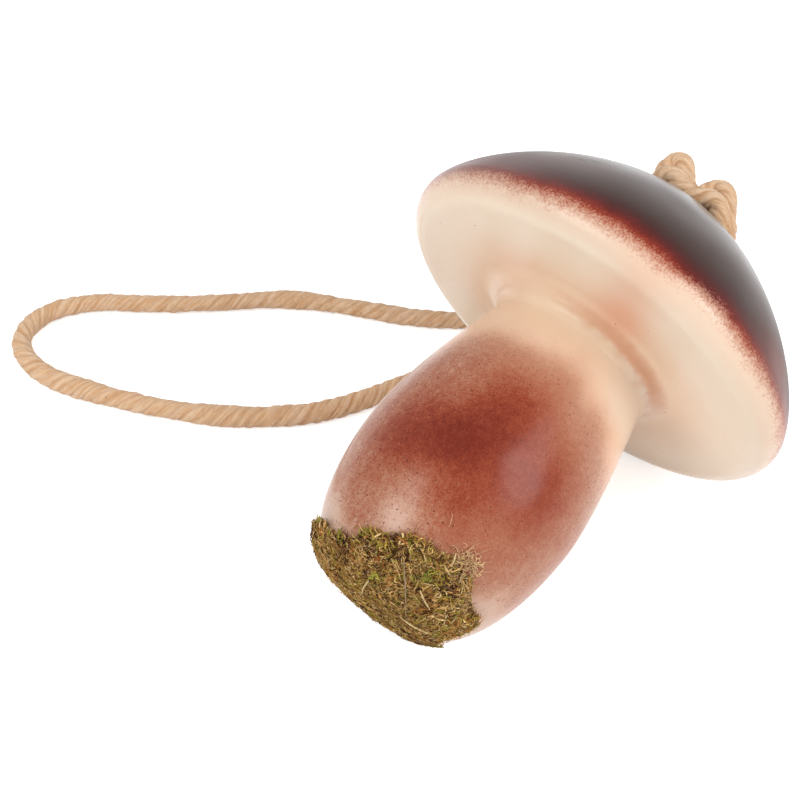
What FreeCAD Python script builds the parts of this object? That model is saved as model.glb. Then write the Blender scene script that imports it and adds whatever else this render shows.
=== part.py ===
import FreeCAD, Part
import math
import os

# Ceramic mushroom ornament, lying on its side with its hanging loop beside it.
# Cap and stem are two hollow shells, joined at the neck with a ring of slip.
# A doubled jute cord passes through the crown and is knotted outside and inside.
# Preserved moss is glued over the foot. Millimetres, +Z up, the floor at zero height.
# The axis of the mushroom lies in the XZ plane, with the foot towards -X and the crown towards +X.
# Outlines are drawn with the radius along X and the height along Z, and turned about Z.
# Laid down, their X points to the floor and their Z runs up the axis to the crown.

# Ceramic body
wall = 4.0
cap_diameter = 96.0
cap_height = 40.1
rim_inner_radius = 1.6
rim_top_angle = 18.0
stem_length = 71.3
foot_flat_diameter = 20.0
belly_diameter = 51.2
belly_height = 33.0
neck_diameter = 39.9
flare_height = 6.1
neck_taper_angle = 14.5
crease_diameter = 42.8
drain_hole_diameter = 16.0
slip_thickness = 0.6
slip_recess = 0.5

# Fullness of the curved outlines: how far each curve keeps its first and its last direction,
# as shares of the cap's radius, the cap's height and the stem's lengths
rim_handle_share = 0.30
crown_handle_share = 0.455
foot_handle_share = 0.68
belly_lower_handle_share = 0.48
belly_upper_handle_share = 0.25
neck_handle_share = 0.25
flare_handle_share = 0.45

# Moss on the foot: a mat over its end, and a patch that climbs one side
glue_thickness = 0.3
moss_thickness = 1.5
mat_height = 3.2
mat_slope = 8.0
mat_slope_angle = 110.0
patch_height = 5.0
patch_rise = 8.5
patch_half_width = 16.5
patch_angle = 130.0

# Cord
cord_diameter = 5.0
strand_gap = 0.2
crown_hole_clearance = 1.2
knot_gap = 0.3
stopper_drop = 1.0
tail_length = 12.0

# Shape of the knots, as shares of the cord's diameter
lobe_radius_share = 0.55
lobe_spread_share = 1.15
lobe_layer_share = 0.45
knot_core_share = 1.2
knot_exit_share = 0.8
knot_top_share = 1.9
knot_lean = 6.0

# Points of the free loop, from one side of the knot, down to the floor and back to the other side
loop_points = [
    (60.67, 3.0, 56.21),
    (64.75, 3.0, 46.0),
    (67.5, 5.0, 32.0),
    (68.5, 12.0, 18.0),
    (66.0, 23.0, 7.0),
    (60.0, 36.0, 2.5),
    (50.5, 49.5, 2.5),
    (38.5, 63.5, 2.5),
    (30.5, 80.0, 2.5),
    (22.0, 96.0, 2.5),
    (8.5, 108.0, 2.5),
    (-4.0, 120.0, 2.5),
    (-10.0, 135.0, 2.5),
    (-24.5, 141.0, 2.5),
    (-38.0, 134.5, 2.5),
    (-42.5, 121.0, 2.5),
    (-36.0, 105.0, 2.5),
    (-30.0, 89.0, 2.5),
    (-20.0, 72.5, 2.5),
    (-4.5, 58.5, 2.5),
    (15.0, 51.5, 2.5),
    (33.0, 44.0, 2.5),
    (48.0, 31.5, 2.5),
    (59.0, 17.5, 3.5),
    (65.5, 5.0, 11.0),
    (67.0, -3.0, 24.0),
    (66.5, -4.5, 37.0),
    (64.0, -3.0, 46.2),
    (60.10, -3.0, 55.98),
]

# Share of the shorter run that each arc of the loop takes up
arc_run_share = 0.45

# Cuts run this far past the faces that they open, and cutting blocks are wider than the cap
overrun = 10.0
block_size = cap_diameter + overrun

# Number of points on a moved outline, and the search for the tilt at rest, in degrees
outline_steps = 12
fine_steps = 400
halvings = 50
steepest_tilt = 60.0

origin = FreeCAD.Vector(0, 0, 0)
radius_axis = FreeCAD.Vector(1, 0, 0)
side_axis = FreeCAD.Vector(0, 1, 0)
height_axis = FreeCAD.Vector(0, 0, 1)


def point(radius, height):
    """A point of an outline."""
    return FreeCAD.Vector(radius, 0, height)


def line(start, end):
    """A straight edge."""
    return Part.LineSegment(start, end).toShape()


def revolved(edges):
    """The solid that a closed outline sweeps about the height axis."""
    return Part.Face(Part.Wire(edges)).revolve(origin, height_axis, 360)


def curve_between(start, start_handle, end_handle, end):
    """A smooth curve that leaves its start towards one handle and reaches its end from the other."""
    curve = Part.BezierCurve()
    curve.setPoles([start, start_handle, end_handle, end])
    return curve


def direction(curve, place):
    """The direction of a curve at one of its parameters."""
    return curve.tangent(place)[0]


def offset(curve, distance):
    """A copy of an outline curve, moved inwards, or outwards if the distance is negative."""
    first = curve.FirstParameter
    last = curve.LastParameter
    moved = []
    for step in range(outline_steps + 1):
        place = first + (last - first) * step / outline_steps
        along = direction(curve, place)
        inward = FreeCAD.Vector(-along.z, 0, along.x)
        moved.append(curve.value(place) + inward * distance)
    copy = Part.BSplineCurve()
    copy.interpolate(Points=moved)
    return copy


def edges_of(curves):
    """The edges of a row of curves."""
    return [curve.toShape() for curve in curves]


def end_of(curve):
    """The last point of a curve."""
    return curve.value(curve.LastParameter)


def closed_about_axis(bottom, edges, top):
    """An outline's edges, closed by lines to the axis at its bottom and top."""
    low = point(0, bottom.z)
    high = point(0, top.z)
    pieces = [line(low, bottom)] + edges
    if top.x > 0:
        pieces.append(line(top, high))
    pieces.append(line(high, low))
    return pieces


def cylinder(radius, low, high, sideways=0):
    """A round bar along the axis, between two heights."""
    base = FreeCAD.Vector(0, sideways, low)
    return Part.makeCylinder(radius, high - low, base, height_axis)


# Stem: outer outline, from the flat of the foot to the neck and out to the crease
belly_radius = belly_diameter / 2
neck_radius = neck_diameter / 2
neck_height = stem_length - flare_height
crease_radius = crease_diameter / 2
foot_edge = point(foot_flat_diameter / 2, 0)
belly = point(belly_radius, belly_height)
neck = point(neck_radius, neck_height)
crease = point(crease_radius, stem_length)
neck_turn = math.radians(neck_taper_angle)
neck_direction = point(-math.sin(neck_turn), math.cos(neck_turn))
foot_handle = foot_edge + radius_axis * (belly_radius - foot_edge.x) * foot_handle_share
belly_handle = belly - height_axis * belly_height * belly_lower_handle_share
shoulder_handle = belly + height_axis * (neck_height - belly_height) * belly_upper_handle_share
neck_handle = neck - neck_direction * (neck_height - belly_height) * neck_handle_share
flare_handle = neck + neck_direction * flare_height * flare_handle_share
stem_foot = curve_between(foot_edge, foot_handle, belly_handle, belly)
stem_shoulder = curve_between(belly, shoulder_handle, neck_handle, neck)
flare = curve_between(neck, flare_handle, point(neck_radius, stem_length), crease)

# Cap: its underside lies on the slip at the top of the stem
cap_radius = cap_diameter / 2
underside = stem_length + slip_thickness
crown = underside + cap_height
rim_radius = wall + rim_inner_radius
rim_centre = point(cap_radius - rim_radius, underside + rim_radius)
neck_bore_radius = neck_radius - wall


def on_rim(radius, angle):
    """A point on the rim's round edge, at an angle above the horizontal."""
    turn = math.radians(angle)
    return rim_centre + point(radius * math.cos(turn), radius * math.sin(turn))


def dome_curve():
    """The outer outline of the dome, from the rim to the crown."""
    turn = math.radians(rim_top_angle)
    rim_top = on_rim(rim_radius, rim_top_angle)
    rim_handle = rim_top + point(-math.sin(turn), math.cos(turn)) * cap_height * rim_handle_share
    crown_handle = point(cap_radius * crown_handle_share, crown)
    return curve_between(rim_top, rim_handle, crown_handle, point(0, crown))


dome = dome_curve()


def cap_solid(inset):
    """The cap's outer form, or the form of its hollow when inset by the wall."""
    radius = rim_radius - inset
    bottom = on_rim(radius, -90)
    side = on_rim(radius, (rim_top_angle - 90) / 2)
    top = on_rim(radius, rim_top_angle)
    rim = Part.Arc(bottom, side, top).toShape()
    roof = offset(dome, inset) if inset else dome
    peak = point(0, crown - inset)
    return revolved(closed_about_axis(bottom, [rim, roof.toShape()], peak))


def make_cap_shell():
    """Hollow cap, open at the neck and at the cord's hole in the crown."""
    hole_radius = cord_diameter + crown_hole_clearance / 2
    shell = cap_solid(0).cut(cap_solid(wall))
    shell = shell.cut(cylinder(neck_bore_radius, underside - overrun, underside + wall + overrun))
    return shell.cut(cylinder(hole_radius, crown - wall - overrun, crown + overrun))


def drain_form():
    """The form of the drain hole, through the foot and whatever covers it."""
    return cylinder(drain_hole_diameter / 2, -overrun, wall + overrun)


def make_stem_shell():
    """Hollow stem with a drain hole in its foot and an open top."""
    sides = edges_of([stem_foot, stem_shoulder, flare])
    outer = revolved(closed_about_axis(foot_edge, sides, crease))
    inner_foot = offset(stem_foot, wall)
    inner_shoulder = offset(stem_shoulder, wall)
    inner_neck = end_of(inner_shoulder)
    inner_top = point(inner_neck.x, stem_length)
    bore = edges_of([inner_foot, inner_shoulder]) + [line(inner_neck, inner_top)]
    hollow = revolved(closed_about_axis(point(foot_edge.x, wall), bore, inner_top))
    return outer.cut(hollow).cut(drain_form())


def make_slip_joint():
    """Ring of slip between the stem and the cap, a little inside the crease."""
    ring = cylinder(crease_radius - slip_recess, stem_length, underside)
    return ring.cut(cylinder(neck_bore_radius, stem_length - overrun, underside + overrun))


def foot_form(thickness):
    """The form of the stem up to its belly, thicker all over by a layer."""
    side = offset(stem_foot, -thickness) if thickness else stem_foot
    bottom = point(foot_edge.x, -thickness)
    return revolved(closed_about_axis(bottom, edges_of([side]), end_of(side)))


def layer(inner, outer):
    """The space between two thicknesses over the lower stem."""
    return foot_form(outer).cut(foot_form(inner))


def cutting_block(corner):
    """A block, larger than anything that it cuts, from its lowest corner."""
    return Part.makeBox(block_size, block_size, block_size, corner)


def turned(shape, axis, angle):
    """The shape, turned about an axis through the foot's centre."""
    shape.rotate(origin, axis, angle)
    return shape


def mat_region():
    """Everything below the slanted edge of the moss mat."""
    corner = FreeCAD.Vector(-block_size / 2, -block_size / 2, -block_size)
    block = turned(cutting_block(corner), side_axis, -mat_slope)
    block.translate(FreeCAD.Vector(0, 0, mat_height))
    return turned(block, height_axis, mat_slope_angle + 90)


def patch_region():
    """An oval bar that points out of the stem's side, above the mat."""
    oval = Part.Ellipse(origin, patch_half_width, patch_rise)
    face = Part.Face(Part.Wire(oval.toShape()))
    bar = face.extrude(FreeCAD.Vector(0, 0, belly_diameter))
    bar = turned(bar, radius_axis, 90)
    bar.translate(FreeCAD.Vector(0, 0, patch_height))
    return turned(bar, height_axis, patch_angle + 180).cut(mat_region())


def make_foot_moss():
    """Mat of moss over the whole end of the foot."""
    return layer(glue_thickness, glue_thickness + moss_thickness).common(mat_region())


def make_side_moss():
    """Patch of moss on the side, from the mat upwards."""
    return layer(glue_thickness, glue_thickness + moss_thickness).common(patch_region())


def make_moss_glue():
    """Film of glue under the mat and the patch."""
    film = layer(0, glue_thickness)
    glue = film.common(mat_region()).fuse(film.common(patch_region()))
    return glue.cut(drain_form()).removeSplitter()


def knot_solid(lean):
    """A knot in the doubled cord: two lobes of two turns each round a core, on a flat base."""
    lobe_radius = cord_diameter * lobe_radius_share
    centre_height = lobe_radius + cord_diameter / 2
    knot = Part.makeSphere(cord_diameter * knot_core_share, FreeCAD.Vector(0, 0, centre_height))
    for side in (-1, 1):
        for depth in (-1, 1):
            place = FreeCAD.Vector(
                depth * cord_diameter * lobe_layer_share,
                side * cord_diameter * lobe_spread_share,
                centre_height,
            )
            turn = Part.makeTorus(lobe_radius, cord_diameter / 2, place, radius_axis)
            knot = knot.fuse(turn)
    knot.rotate(FreeCAD.Vector(0, 0, centre_height), radius_axis, lean)
    exit_place = cord_diameter * knot_exit_share
    corner = FreeCAD.Vector(exit_place - block_size, -block_size / 2, 0)
    return knot.common(cutting_block(corner))


def make_crown_knot():
    """Knot outside, over the hole in the crown."""
    knot = knot_solid(knot_lean)
    knot.translate(FreeCAD.Vector(0, 0, crown + knot_gap))
    return knot


def stopper_base():
    """Height of the flat face of the knot inside."""
    return crown - wall - stopper_drop


def make_stopper_knot():
    """Knot inside, under the hole in the crown."""
    top = FreeCAD.Vector(-block_size / 2, -block_size / 2, cord_diameter * knot_top_share)
    knot = turned(knot_solid(0).cut(cutting_block(top)), radius_axis, 180)
    knot.translate(FreeCAD.Vector(0, 0, stopper_base()))
    return knot


def make_cord_leg(side):
    """One of the two strands in the crown's hole, from knot to knot."""
    sideways = side * (cord_diameter + strand_gap) / 2
    return cylinder(cord_diameter / 2, stopper_base(), crown + knot_gap, sideways)


def make_cord_tail(side):
    """One loose end of the cord, inside the hollow."""
    sideways = side * cord_diameter * lobe_spread_share
    top = stopper_base() - cord_diameter * knot_top_share
    return cylinder(cord_diameter / 2, top - tail_length, top, sideways)


def resting_tilt():
    """The angle of the axis above the floor, at which both the stem and the rim touch it."""
    outline = stem_foot.discretize(fine_steps)

    def heights(tilt):
        rise = math.sin(tilt)
        level = math.cos(tilt)
        stem_low = min(place.z * rise - place.x * level for place in outline)
        rim_low = rim_centre.z * rise - rim_centre.x * level - rim_radius
        return stem_low, rim_low

    low = 0
    high = math.radians(steepest_tilt)
    for _ in range(halvings):
        middle = (low + high) / 2
        stem_low, rim_low = heights(middle)
        if stem_low > rim_low:
            low = middle
        else:
            high = middle
    return math.degrees(middle), -min(heights(middle))


tilt, lift = resting_tilt()
laid_down = FreeCAD.Placement(FreeCAD.Vector(0, 0, lift), FreeCAD.Rotation(side_axis, 90 - tilt))


def cord_path(places):
    """Straight runs joined by tangent arcs, and the radii of the arcs."""
    edges = []
    radii = []
    start = places[0]
    for before, corner, after in zip(places, places[1:], places[2:]):
        turn = (corner - before).getAngle(after - corner)
        cut = arc_run_share * min((corner - before).Length, (after - corner).Length)
        radius = cut / math.tan(turn / 2)
        back = (before - corner).normalize()
        onward = (after - corner).normalize()
        arc_start = corner + back * cut
        arc_end = corner + onward * cut
        inward = (back + onward).normalize()
        depth = math.hypot(radius, cut) - radius
        edges.append(line(start, arc_start))
        edges.append(Part.Arc(arc_start, corner + inward * depth, arc_end).toShape())
        start = arc_end
        radii.append(radius)
    edges.append(line(start, places[-1]))
    return Part.Wire(edges), radii


def make_hanging_cord():
    """The free loop of cord, from the knot, down to the floor and back to the knot."""
    places = [FreeCAD.Vector(*place) for place in loop_points]
    path, radii = cord_path(places)
    first_run = places[1] - places[0]
    section = Part.Wire(Part.Circle(places[0], first_run, cord_diameter / 2).toShape())
    tube = path.makePipeShell([section], True, False)
    expected = math.pi * (cord_diameter / 2) ** 2 * path.Length
    print("loop length", round(path.Length, 1), "volume over section times length", tube.Volume / expected)
    print("radii in diameters", [round(radius / cord_diameter, 1) for radius in radii])
    return tube


# The object itself and the cord's pieces that it holds, in the order in which they are put together
body = {
    "stem_shell": make_stem_shell(),
    "slip_joint": make_slip_joint(),
    "cap_shell": make_cap_shell(),
    "moss_glue": make_moss_glue(),
    "foot_moss": make_foot_moss(),
    "side_moss": make_side_moss(),
}
cord_pieces = {
    "stopper_knot": make_stopper_knot(),
    "cord_tail_left": make_cord_tail(1),
    "cord_tail_right": make_cord_tail(-1),
    "cord_leg_left": make_cord_leg(1),
    "cord_leg_right": make_cord_leg(-1),
    "crown_knot": make_crown_knot(),
}

for shape in {**body, **cord_pieces}.values():
    shape.Placement = laid_down.multiply(shape.Placement)

# The origin stands under the middle of the object, without its cord
box = Part.makeCompound(list(body.values())).optimalBoundingBox(False, False)
middle_shift = FreeCAD.Vector(-box.Center.x, 0, 0)
for shape in {**body, **cord_pieces}.values():
    shape.translate(middle_shift)

cord_pieces["hanging_cord"] = make_hanging_cord()

os.makedirs("parts", exist_ok=True)
for name, shape in {**body, **cord_pieces}.items():
    shape.exportStep("parts/" + name + ".step")
    print(name, "valid", shape.isValid(), "solids", len(shape.Solids), "volume", round(shape.Volume))
print("tilt", round(tilt, 2), "lift", round(lift, 2), "shift", round(middle_shift.x, 3))
print("box", box)
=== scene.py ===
import math

import bpy
import numpy as np
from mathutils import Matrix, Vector


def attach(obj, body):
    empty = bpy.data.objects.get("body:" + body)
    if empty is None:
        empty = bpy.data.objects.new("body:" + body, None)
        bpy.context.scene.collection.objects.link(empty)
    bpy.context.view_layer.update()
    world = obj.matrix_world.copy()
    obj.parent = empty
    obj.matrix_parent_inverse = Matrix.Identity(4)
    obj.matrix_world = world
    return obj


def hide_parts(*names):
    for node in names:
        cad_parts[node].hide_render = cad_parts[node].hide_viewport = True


# Looks of a ceramic mushroom ornament that lies on its side with its hanging loop of jute cord.
# Lengths with no unit are millimetres in the mushroom's own axes: X towards the floor, Y sideways
# and Z up the axis, from the foot. Angles round the axis start at +Y and turn over the top.

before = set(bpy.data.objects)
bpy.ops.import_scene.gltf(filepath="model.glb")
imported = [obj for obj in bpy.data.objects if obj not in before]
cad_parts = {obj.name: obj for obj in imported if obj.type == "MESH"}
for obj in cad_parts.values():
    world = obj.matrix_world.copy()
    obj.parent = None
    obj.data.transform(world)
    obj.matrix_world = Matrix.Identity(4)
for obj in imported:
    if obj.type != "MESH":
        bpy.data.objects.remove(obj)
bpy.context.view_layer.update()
mm = 0.001
full_turn = 2 * math.pi

# How the mushroom lies, as in the model
tilt = math.radians(21.7063)
foot_place = np.array([-50.3077, 0.0, 16.3302])
axis_down = np.array([math.sin(tilt), 0.0, -math.cos(tilt)])
axis_side = np.array([0.0, 1.0, 0.0])
axis_up = np.array([math.cos(tilt), 0.0, math.sin(tilt)])
crown_height = 112.0

# Outline of the foot, from its flat to the belly
foot_flat_radius = 10.0
belly_radius = 25.6
belly_height = 33.0
foot_handle_share = 0.68
belly_handle_share = 0.48

# Camera, in millimetres over the floor, for a square frame
camera_place = (-222.0, -159.0, 282.8)
camera_direction = (0.5563, 0.4928, -0.669)
camera_lens = 76.5

# Cord
cord_diameter = 5.0
knot_cord_diameter = 4.5
cord_length = 0.45
lay_length = 13.0
lay_strands = 4

# Least heights over the floor
rope_clearance = 0.02 * mm
hair_clearance = 0.05 * mm
moss_clearance = 0.3 * mm

# Where the loop is thinner or thicker: distances along it, and shares of its diameter
cord_swells = [
    (0, 0.95), (105, 0.9), (114, 0.97), (128, 0.83), (140, 1.02), (151, 0.87), (168, 0.86), (182, 0.92),
    (188, 0.88), (203, 0.96), (225, 1), (244, 1.12), (256, 0.97), (272, 0.93), (283, 1.13), (292, 1.02),
    (300, 1.06), (321, 0.98), (345, 1), (450, 0.95),
]

# Route of the loop in metres, as in the model but for small moves towards the photograph
loop_points = [
    (0.06067, 0.003, 0.05621), (0.06475, 0.003, 0.046), (0.0675, 0.005, 0.032),
    (0.0685, 0.012, 0.018), (0.066, 0.023, 0.007), (0.06, 0.036, 0.0025),
    (0.0505, 0.0495, 0.0025), (0.0385, 0.0635, 0.0025), (0.0305, 0.08, 0.0025),
    (0.022, 0.096, 0.0025), (0.0085, 0.108, 0.0025), (-0.0035, 0.1205, 0.0025),
    (-0.0135, 0.134, 0.0025), (-0.0255, 0.14, 0.0025), (-0.0375, 0.136, 0.0025),
    (-0.042, 0.1215, 0.0025), (-0.0365, 0.104, 0.0025), (-0.0297, 0.0883, 0.0025),
    (-0.02, 0.0725, 0.0025), (-0.005, 0.058, 0.0025), (0.0145, 0.051, 0.0025),
    (0.033, 0.044, 0.0025), (0.048, 0.0315, 0.0025), (0.059, 0.0175, 0.0035),
    (0.0655, 0.005, 0.011), (0.067, -0.003, 0.024), (0.0665, -0.0045, 0.037),
    (0.064, -0.003, 0.0462), (0.0601, -0.003, 0.05598),
]


# Geometry helpers

def placed(points):
    """Points in the mushroom's own axes as points of the frame, in metres."""
    points = np.asarray(points, dtype=float)
    axes = np.stack([axis_down, axis_side, axis_up])
    return (foot_place + points @ axes) * mm


def unit(vectors):
    """Vectors of length one."""
    return vectors / np.maximum(np.linalg.norm(vectors, axis=-1, keepdims=True), 1e-12)


def ring_faces(*shape):
    """Faces between rings of points, for an array of points of this shape."""
    index = np.arange(math.prod(shape)).reshape(shape)
    near_row, far_row = index[..., :-1, :], index[..., 1:, :]
    faces = np.stack([near_row, far_row, np.roll(far_row, -1, -1), np.roll(near_row, -1, -1)], axis=-1)
    return faces.reshape(-1, 4)


def bezier(controls, share):
    """Points of a cubic curve at shares of its run."""
    weights = np.concatenate(
        [(1 - share) ** 3, 3 * share * (1 - share) ** 2, 3 * share ** 2 * (1 - share), share ** 3], axis=1)
    return weights @ np.array(controls)


def new_object(name, data):
    """An object of the scene that holds a mesh, curve, camera or light."""
    result = bpy.data.objects.new(name, data)
    bpy.context.scene.collection.objects.link(result)
    return result


def new_piece(name, vertices, faces, material):
    """A smooth mesh object from points of the frame, which rides on the one body."""
    mesh = bpy.data.meshes.new(name)
    mesh.from_pydata(vertices.tolist(), [], faces)
    mesh.polygons.foreach_set("use_smooth", [True] * len(mesh.polygons))
    mesh.update()
    piece = new_object(name, mesh)
    piece.data.materials.append(material)
    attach(piece, "root")
    return piece


def add_values(piece, name, kind, key, values):
    """A number or a vector for each point of a mesh."""
    attribute = piece.data.attributes.new(name, kind, "POINT")
    attribute.data.foreach_set(key, values.astype(np.float32).ravel())


def add_tints(piece, tints):
    """A colour for each point of a mesh."""
    attribute = piece.data.color_attributes.new("tint", "FLOAT_COLOR", "POINT")
    colours = np.concatenate([tints, np.ones((len(tints), 1))], axis=1)
    attribute.data.foreach_set("color", colours.astype(np.float32).ravel())


def spline_line(points):
    """Close points along the curve that has these control points, in metres."""
    curve = bpy.data.curves.new("route", "CURVE")
    curve.dimensions = "3D"
    curve.resolution_u = 24
    spline = curve.splines.new("NURBS")
    spline.points.add(len(points) - 1)
    for control, place in zip(spline.points, points):
        control.co = (*place, 1.0)
    spline.order_u = 3
    spline.use_endpoint_u = True
    holder = new_object("route", curve)
    mesh = bpy.data.meshes.new_from_object(holder)
    line = np.array([vertex.co[:] for vertex in mesh.vertices])
    bpy.data.objects.remove(holder)
    bpy.data.curves.remove(curve)
    bpy.data.meshes.remove(mesh)
    return line


def resampled(line, step):
    """The line with evenly spaced points, and how far along it each is."""
    runs = np.linalg.norm(np.diff(line, axis=0), axis=1)
    along = np.concatenate([[0.0], np.cumsum(runs)])
    count = max(int(round(along[-1] / step)), 2)
    places = np.linspace(0.0, along[-1], count + 1)
    return np.stack([np.interp(places, along, line[:, k]) for k in range(3)], axis=1), places


def carried_frames(line):
    """Directions along a line, and two across it that turn as little as they can."""
    forward = unit(np.gradient(line, axis=0))
    across = np.zeros_like(line)
    start = np.cross(forward[0], (0.0, 0.0, 1.0))
    if np.linalg.norm(start) < 0.1:
        start = np.cross(forward[0], (0.0, 1.0, 0.0))
    across[0] = start / np.linalg.norm(start)
    for k in range(1, len(line)):
        side = across[k - 1] - forward[k] * np.dot(across[k - 1], forward[k])
        across[k] = side / np.linalg.norm(side)
    return forward, across, np.cross(forward, across)


def waves(places, lengths, seed):
    """Gentle uneven waves along a line, between about -1 and 1."""
    choice = np.random.default_rng(seed)
    total = np.zeros_like(places)
    for length in lengths:
        total += np.sin(full_turn * (places / length + choice.uniform()))
    return total / len(lengths)


def rope_surface(line, diameter, seed, lay, depth, swells, ends, step=0.3 * mm, sides=48):
    """The lobed surface of a twisted cord: rings of points and what the jute's pattern needs."""
    line, along = resampled(line, step)
    _, across, over = carried_frames(line)
    radius = diameter / 2
    places, shares = np.array(swells).T
    thick = np.interp(along / mm, places, shares)
    thick += 0.025 * waves(along, (0.0173, 0.0097), seed)
    thick += 0.02 * waves(along, (0.0051, 0.0034), seed + 9)
    if ends:
        near = np.minimum(along, along[-1] - along) / (radius * ends)
        thick = thick * np.sqrt(1 - np.clip(1 - near, 0, 1) ** 2 + 0.01)
    turn = np.arange(sides) / sides * full_turn
    uneven = 0.3 * waves(along, (0.043, 0.019, 0.0083), seed + 1)
    twist = full_turn * along / (lay * mm) + uneven
    strand_turn = lay_strands * (turn + twist[:, None])
    strand = np.floor(strand_turn / full_turn).astype(int) % lay_strands
    folded = (np.mod(strand_turn, full_turn) - math.pi) / math.pi
    fullness = [0.05 * waves(along, (0.0123, 0.0067), seed + 20 + k) for k in range(lay_strands)]
    fullness = np.take_along_axis(np.stack(fullness, axis=1), strand, axis=1) * (1 - folded ** 2)
    reach = 1 - depth * (1 - np.sqrt(1 - 0.92 * folded ** 2)) + fullness
    yarns = 0.016 * np.cos(strand_turn * 3 - full_turn * along[:, None] / (4.1 * mm))
    fibre = 0.01 * np.sin(turn * 17 + waves(along, (0.0061, 0.0043), seed + 2)[:, None] * 5)
    dents = 0.02 * np.sin(turn * 3 + waves(along, (0.0037, 0.0023), seed + 3)[:, None] * 6)
    reach = radius * thick[:, None] * (reach + yarns + fibre + dents)
    ring = across[:, None] * np.cos(turn)[:, None] + over[:, None] * np.sin(turn)[:, None]
    points = line[:, None] + ring * reach[:, :, None]
    untwisted = strand_turn / lay_strands
    straight = np.stack([
        np.cos(untwisted) * reach, np.sin(untwisted) * reach,
        np.broadcast_to(along[:, None], reach.shape)], axis=2)
    return points, straight.reshape(-1, 3), np.abs(folded).ravel() ** 3


def rope_piece(name, lines, diameter, material, seed, lay, depth, swells, ends=0.0):
    """One piece made of twisted cords along lines, with closed ends."""
    vertices, faces, straights, grooves = [], [], [], []
    first = 0
    for number, line in enumerate(lines):
        points, straight, groove = rope_surface(
            line, diameter * mm, seed + 50 * number, lay, depth, swells, ends)
        rows, sides, _ = points.shape
        ring = np.arange(sides) + first
        faces += (ring_faces(rows, sides) + first).tolist()
        first += rows * sides
        faces += [ring.tolist(), range(first - 1, first - 1 - sides, -1)]
        vertices.append(points.reshape(-1, 3))
        straights.append(straight)
        grooves.append(groove)
    vertices = np.concatenate(vertices)
    vertices[:, 2] = np.maximum(vertices[:, 2], rope_clearance)
    piece = new_piece(name, vertices, faces, material)
    add_values(piece, "straight", "FLOAT_VECTOR", "vector", np.concatenate(straights) / mm)
    add_values(piece, "groove", "FLOAT", "value", np.concatenate(grooves))
    return piece


def tube_mesh(lines, radii, sides=3):
    """Points and faces of thin tubes, from their middle lines and the radius at each point."""
    forward = unit(np.gradient(lines, axis=1))
    across = unit(np.cross(forward, (0.31, 0.17, 0.93)))
    over = np.cross(forward, across)
    turn = np.arange(sides) / sides * full_turn
    ring = across[:, :, None] * np.cos(turn)[:, None] + over[:, :, None] * np.sin(turn)[:, None]
    points = lines[:, :, None] + ring * radii[:, :, None, None]
    return points.reshape(-1, 3), ring_faces(*points.shape[:-1]).tolist()


# Material helpers

def colour(red, green, blue):
    """A colour written in screen values from 0 to 255, as a shader's colour."""
    shares = (red / 255, green / 255, blue / 255)
    linear = (share / 12.92 if share <= 0.04045 else ((share + 0.055) / 1.055) ** 2.4 for share in shares)
    return (*linear, 1.0)


def plain(*shade):
    """The same colour as an array of three numbers, for the mesh."""
    return np.array(colour(*shade)[:3])


def feed(socket, value):
    """Puts a number, a vector or the result of another node into a socket."""
    if isinstance(value, bpy.types.NodeSocket):
        socket.id_data.links.new(value, socket)
    else:
        socket.default_value = value


def fill(node, **values):
    """Puts values into the inputs of a node, by name with underscores for spaces."""
    for name, value in values.items():
        feed(node.inputs[name.replace("_", " ")], value)


def new_node(tree, kind, *values, **settings):
    """A node of a kind, with its settings and its first inputs filled."""
    node = tree.nodes.new("ShaderNode" + kind)
    for name, value in settings.items():
        setattr(node, name, value)
    for socket, value in zip(node.inputs, values):
        feed(socket, value)
    return node


def empty_tree(owner):
    """The node tree of a material or a world, with nothing in it."""
    owner.use_nodes = True
    owner.node_tree.nodes.clear()
    return owner.node_tree


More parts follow.
